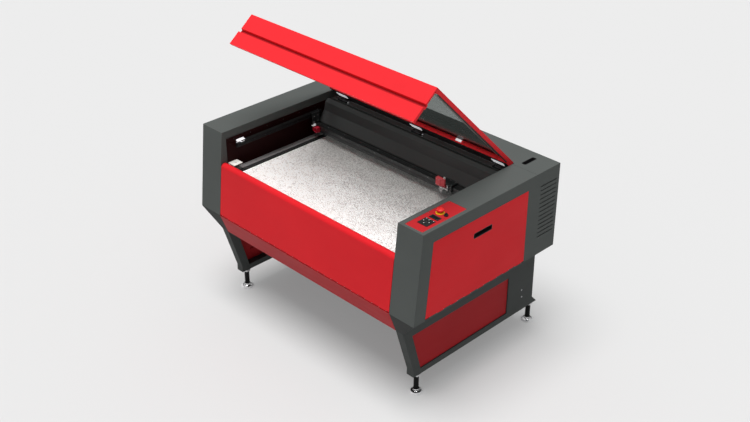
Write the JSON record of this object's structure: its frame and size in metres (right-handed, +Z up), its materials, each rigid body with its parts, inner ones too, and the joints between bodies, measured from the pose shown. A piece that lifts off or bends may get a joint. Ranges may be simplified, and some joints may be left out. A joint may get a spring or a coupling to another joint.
{
  "type": "laser cutter",
  "caption": "Free-standing laser cutter with hinged window lid, drop-down front door, moving gantry and laser head, lifting work table, control panel and levelling feet.",
  "frame": {"origin": "centre of the machine's footprint, on the floor under the feet", "axes": "+X to the right seen from the front, +Y to the back, +Z up"},
  "size_m": [1.676, 1.14, 1.6832],
  "materials": {
    "casing_grey": "fine textured powder coat",
    "gusset_grey": "fine textured powder coat",
    "frame_dark": "satin black paint",
    "panel_red": "satin powder coat",
    "door_red": "satin powder coat",
    "lid_red": "gloss powder coat",
    "control_red": "satin powder coat",
    "black_plastic": "fine grain",
    "key_plastic": "smooth",
    "estop_yellow": "gloss",
    "estop_red": "gloss",
    "head_red": "gloss",
    "window": "smoked safety window",
    "seal_rubber": "matt",
    "belt_rubber": "matt, toothed",
    "aluminium": "brushed",
    "beam_dark": "dark anodised",
    "table_alu": "brushed",
    "honeycomb": "bare cell edges",
    "steel": "ground",
    "foot_chrome": "polished pad, black stem",
    "bracket_white": "off-white"
  },
  "bodies": {
    "chassis": {"stand_frame_left": "casing_grey", "stand_frame_right": "casing_grey", "stand_panel_left": "panel_red", "stand_panel_right": "panel_red", "corner_gussets": "gusset_grey", "casing_left": "casing_grey", "casing_right": "casing_grey", "side_panel_left": "panel_red", "chamber_wall_left": "frame_dark", "chamber_wall_right": "frame_dark", "chamber_floor": "frame_dark", "rear_panel": "casing_grey", "rear_deck": "casing_grey", "front_chin": "door_red", "exhaust_plenum": "frame_dark", "exhaust_collars": "aluminium", "deck_pull": "black_plastic", "control_panel": "control_red", "keypad_bezel": "black_plastic", "estop_base": "estop_yellow", "key_switch": "steel", "door_hinge_pins": "steel", "lid_hinge_blocks": "aluminium", "y_rails": "beam_dark", "laser_tubes": "aluminium", "power_supply": "aluminium", "cooling_fans": "black_plastic", "power_inlet": "black_plastic", "corner_bracket": "bracket_white"},
    "lid": {"lid_frame": "lid_red", "lid_front_panel": "lid_red", "lid_window": "window", "lid_seal": "seal_rubber", "lid_hinge_leaves": "aluminium", "lid_hinge_pins": "steel"},
    "front_door": {"front_door": "door_red"},
    "side_door": {"right_side_door": "panel_red", "side_door_pull": "black_plastic"},
    "gantry": {"gantry_beam": "beam_dark", "gantry_mirror_mount": "head_red", "x_belt": "belt_rubber"},
    "carriage": {"carriage_plate": "beam_dark", "head_cover": "head_red", "lens_nozzle": "aluminium"},
    "table": {"table_frame": "table_alu", "honeycomb_bed": "honeycomb"},
    "estop": {"estop_button": "estop_red"},
    "key": {"panel_key": "black_plastic"},
    "screw_front_left": {"lift_screw_front_left": "steel"},
    "screw_front_right": {"lift_screw_front_right": "steel"},
    "screw_rear_left": {"lift_screw_rear_left": "steel"},
    "screw_rear_right": {"lift_screw_rear_right": "steel"},
    "foot_front_left": {"leveling_foot_front_left": "foot_chrome"},
    "foot_front_right": {"leveling_foot_front_right": "foot_chrome"},
    "foot_rear_left": {"leveling_foot_rear_left": "foot_chrome"},
    "foot_rear_right": {"leveling_foot_rear_right": "foot_chrome"},
    "jog_front": {"jog_key_front": "key_plastic"},
    "jog_back": {"jog_key_back": "key_plastic"},
    "jog_left": {"jog_key_left": "key_plastic"},
    "jog_right": {"jog_key_right": "key_plastic"}
  },
  "joints": [
    {"name": "lid_hinge", "type": "hinge", "parent": "chassis", "child": "lid", "pos_m": [0, 0.33835, 1.06], "axis": [1, 0, 0], "range_deg": [0, 45.2]},
    {"name": "front_door_hinge", "type": "hinge", "parent": "chassis", "child": "front_door", "pos_m": [0, -0.566, 0.5745], "axis": [1, 0, 0], "range_deg": [0, 90]},
    {"name": "side_door_hinge", "type": "hinge", "parent": "chassis", "child": "side_door", "pos_m": [0.8354, 0, 0.5754], "axis": [0, 1, 0], "range_deg": [0, 90]},
    {"name": "gantry_travel", "type": "slide", "parent": "chassis", "child": "gantry", "axis": [0, -1, 0], "range_m": [0, 0.5]},
    {"name": "carriage_travel", "type": "slide", "parent": "gantry", "child": "carriage", "axis": [1, 0, 0], "range_m": [-0.93, 0.18]},
    {"name": "table_lift", "type": "slide", "parent": "chassis", "child": "table", "axis": [0, 0, 1], "range_m": [-0.305, 0]},
    {"name": "screw_turn_front_left", "type": "hinge", "parent": "chassis", "child": "screw_front_left", "pos_m": [-0.64, -0.455, 0.5], "axis": [0, 0, 1], "continuous": true},
    {"name": "screw_turn_front_right", "type": "hinge", "parent": "chassis", "child": "screw_front_right", "pos_m": [0.64, -0.455, 0.5], "axis": [0, 0, 1], "continuous": true},
    {"name": "screw_turn_rear_left", "type": "hinge", "parent": "chassis", "child": "screw_rear_left", "pos_m": [-0.64, 0.192, 0.5], "axis": [0, 0, 1], "continuous": true},
    {"name": "screw_turn_rear_right", "type": "hinge", "parent": "chassis", "child": "screw_rear_right", "pos_m": [0.64, 0.192, 0.5], "axis": [0, 0, 1], "continuous": true},
    {"name": "foot_turn_front_left", "type": "hinge", "parent": "chassis", "child": "foot_front_left", "pos_m": [-0.697, -0.39, 0.1], "axis": [0, 0, 1], "continuous": true},
    {"name": "foot_turn_front_right", "type": "hinge", "parent": "chassis", "child": "foot_front_right", "pos_m": [0.697, -0.39, 0.1], "axis": [0, 0, 1], "continuous": true},
    {"name": "foot_turn_rear_left", "type": "hinge", "parent": "chassis", "child": "foot_rear_left", "pos_m": [-0.697, 0.532, 0.1], "axis": [0, 0, 1], "continuous": true},
    {"name": "foot_turn_rear_right", "type": "hinge", "parent": "chassis", "child": "foot_rear_right", "pos_m": [0.697, 0.532, 0.1], "axis": [0, 0, 1], "continuous": true},
    {"name": "press_jog_front", "type": "slide", "parent": "chassis", "child": "jog_front", "axis": [0, 0, -1], "range_m": [0, 0.0015], "stiffness_N_per_m": 400},
    {"name": "press_jog_back", "type": "slide", "parent": "chassis", "child": "jog_back", "axis": [0, 0, -1], "range_m": [0, 0.0015], "stiffness_N_per_m": 400},
    {"name": "press_jog_left", "type": "slide", "parent": "chassis", "child": "jog_left", "axis": [0, 0, -1], "range_m": [0, 0.0015], "stiffness_N_per_m": 400},
    {"name": "press_jog_right", "type": "slide", "parent": "chassis", "child": "jog_right", "axis": [0, 0, -1], "range_m": [0, 0.0015], "stiffness_N_per_m": 400},
    {"name": "estop_press", "type": "slide", "parent": "chassis", "child": "estop", "axis": [0, 0, -1], "range_m": [0, 0.004], "stiffness_N_per_m": 900},
    {"name": "key_turn", "type": "hinge", "parent": "chassis", "child": "key", "pos_m": [0.788, -0.305, 1.07], "axis": [0, 0, 1], "range_deg": [0, 90]}
  ],
  "couplings": [
    {"joint": "screw_turn_front_left", "follows": "table_lift", "rad_per_m": 628.32},
    {"joint": "screw_turn_front_right", "follows": "table_lift", "rad_per_m": 628.32},
    {"joint": "screw_turn_rear_left", "follows": "table_lift", "rad_per_m": 628.32},
    {"joint": "screw_turn_rear_right", "follows": "table_lift", "rad_per_m": 628.32}
  ]
}
